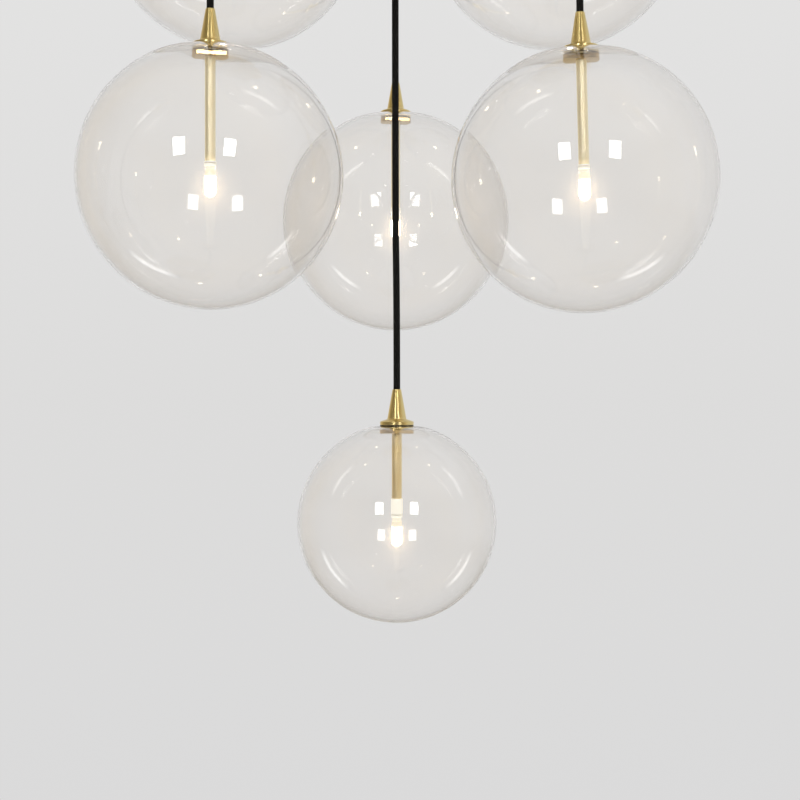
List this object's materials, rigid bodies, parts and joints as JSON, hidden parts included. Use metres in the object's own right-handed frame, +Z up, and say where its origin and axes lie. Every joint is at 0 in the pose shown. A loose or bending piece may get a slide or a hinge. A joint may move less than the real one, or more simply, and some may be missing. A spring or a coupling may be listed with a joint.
{
  "type": "cluster pendant light",
  "caption": "Ceiling cluster of clear glass globe pendants on black textile cords, with cone caps, central stems and glowing capsule lamps under a round canopy.",
  "frame": {"origin": "middle of the face that lies against the ceiling, on the cluster's axis", "axes": "+Z up into the ceiling, -Y towards the viewer of the picture, +X to the viewer's right"},
  "size_m": [0.6263, 0.665, 1.3232],
  "materials": {
    "cap_brass": "turned brass, fine lathe lines, unlacquered",
    "polished_brass": "polished brass",
    "stem_brass": "satin drawn brass tube",
    "canopy_brass": "brushed spun brass",
    "clear_glass": "clear mouth-blown glass",
    "cord_black": "braided textile cable",
    "ceramic_white": "unglazed steatite",
    "lamp_glass": "glowing capsule lamp",
    "zinc_steel": "zinc-plated sheet",
    "nut_steel": "zinc-plated",
    "supply_white": "moulded case, no marks",
    "terminal_plastic": "moulded polyamide",
    "lead_black": "smooth jacket",
    "lead_white": "smooth jacket"
  },
  "bodies": {
    "root": {"canopy_cover": "canopy_brass", "ceiling_bracket": "zinc_steel", "cover_screws": "cap_brass", "cord_grips": "cap_brass", "grip_nuts": "nut_steel", "power_supply": "supply_white", "power_supply_screws": "nut_steel", "mains_terminals": "terminal_plastic", "lamp_terminals": "terminal_plastic", "lamp_leads": "lead_black", "supply_leads": "lead_white"},
    "pendant_lowest": {"cord_lowest": "cord_black", "cone_cap_lowest": "cap_brass", "glass_globe_lowest": "clear_glass", "clamp_block_lowest": "polished_brass", "stem_lowest": "stem_brass", "lampholder_lowest": "ceramic_white"},
    "lamp_lowest": {"lamp_lowest": "lamp_glass"},
    "pendant_left": {"cord_left": "cord_black", "cone_cap_left": "cap_brass", "glass_globe_left": "clear_glass", "clamp_block_left": "polished_brass", "stem_left": "stem_brass", "lampholder_left": "ceramic_white"},
    "lamp_left": {"lamp_left": "lamp_glass"},
    "pendant_right": {"cord_right": "cord_black", "cone_cap_right": "cap_brass", "glass_globe_right": "clear_glass", "clamp_block_right": "polished_brass", "stem_right": "stem_brass", "lampholder_right": "ceramic_white"},
    "lamp_right": {"lamp_right": "lamp_glass"},
    "pendant_rear": {"cord_rear": "cord_black", "cone_cap_rear": "cap_brass", "glass_globe_rear": "clear_glass", "clamp_block_rear": "polished_brass", "stem_rear": "stem_brass", "lampholder_rear": "ceramic_white"},
    "lamp_rear": {"lamp_rear": "lamp_glass"},
    "pendant_upper_left": {"cord_upper_left": "cord_black", "cone_cap_upper_left": "cap_brass", "glass_globe_upper_left": "clear_glass", "clamp_block_upper_left": "polished_brass", "stem_upper_left": "stem_brass", "lampholder_upper_left": "ceramic_white"},
    "lamp_upper_left": {"lamp_upper_left": "lamp_glass"},
    "pendant_upper_right": {"cord_upper_right": "cord_black", "cone_cap_upper_right": "cap_brass", "glass_globe_upper_right": "clear_glass", "clamp_block_upper_right": "polished_brass", "stem_upper_right": "stem_brass", "lampholder_upper_right": "ceramic_white"},
    "lamp_upper_right": {"lamp_upper_right": "lamp_glass"},
    "pendant_upper_front": {"cord_upper_front": "cord_black", "cone_cap_upper_front": "cap_brass", "glass_globe_upper_front": "clear_glass", "clamp_block_upper_front": "polished_brass", "stem_upper_front": "stem_brass", "lampholder_upper_front": "ceramic_white"},
    "lamp_upper_front": {"lamp_upper_front": "lamp_glass"}
  },
  "joints": [
    {"name": "swing_lowest", "type": "hinge", "parent": "root", "child": "pendant_lowest", "pos_m": [0, 0, -0.0611], "axis": [0, -1, 0], "range_deg": [-3, 3]},
    {"name": "pull_lamp_lowest", "type": "slide", "parent": "pendant_lowest", "child": "lamp_lowest", "axis": [0, 0, -1], "range_m": [0, 0.012]},
    {"name": "swing_left", "type": "hinge", "parent": "root", "child": "pendant_left", "pos_m": [-0.1732, -0.1, -0.0611], "axis": [-0.5, 0.866, 0], "range_deg": [-1.5, 12]},
    {"name": "pull_lamp_left", "type": "slide", "parent": "pendant_left", "child": "lamp_left", "axis": [0, 0, -1], "range_m": [0, 0.012]},
    {"name": "swing_right", "type": "hinge", "parent": "root", "child": "pendant_right", "pos_m": [0.1732, -0.1, -0.0611], "axis": [-0.5, -0.866, 0], "range_deg": [-1.5, 12]},
    {"name": "pull_lamp_right", "type": "slide", "parent": "pendant_right", "child": "lamp_right", "axis": [0.0262, 0, -0.9997], "range_m": [0, 0.012]},
    {"name": "swing_rear", "type": "hinge", "parent": "root", "child": "pendant_rear", "pos_m": [0, 0.2, -0.0611], "axis": [1, 0, 0], "range_deg": [-1.5, 12]},
    {"name": "pull_lamp_rear", "type": "slide", "parent": "pendant_rear", "child": "lamp_rear", "axis": [0, 0, -1], "range_m": [0, 0.012]},
    {"name": "swing_upper_left", "type": "hinge", "parent": "root", "child": "pendant_upper_left", "pos_m": [-0.1732, 0.1, -0.0611], "axis": [0.5, 0.866, 0], "range_deg": [-1.5, 12]},
    {"name": "pull_lamp_upper_left", "type": "slide", "parent": "pendant_upper_left", "child": "lamp_upper_left", "axis": [0, 0, -1], "range_m": [0, 0.012]},
    {"name": "swing_upper_right", "type": "hinge", "parent": "root", "child": "pendant_upper_right", "pos_m": [0.1732, 0.1, -0.0611], "axis": [0.5, -0.866, 0], "range_deg": [-1.5, 12]},
    {"name": "pull_lamp_upper_right", "type": "slide", "parent": "pendant_upper_right", "child": "lamp_upper_right", "axis": [0, 0, -1], "range_m": [0, 0.012]},
    {"name": "swing_upper_front", "type": "hinge", "parent": "root", "child": "pendant_upper_front", "pos_m": [0, -0.2, -0.0611], "axis": [-1, 0, 0], "range_deg": [-1.5, 12]},
    {"name": "pull_lamp_upper_front", "type": "slide", "parent": "pendant_upper_front", "child": "lamp_upper_front", "axis": [0, 0, -1], "range_m": [0, 0.012]}
  ]
}
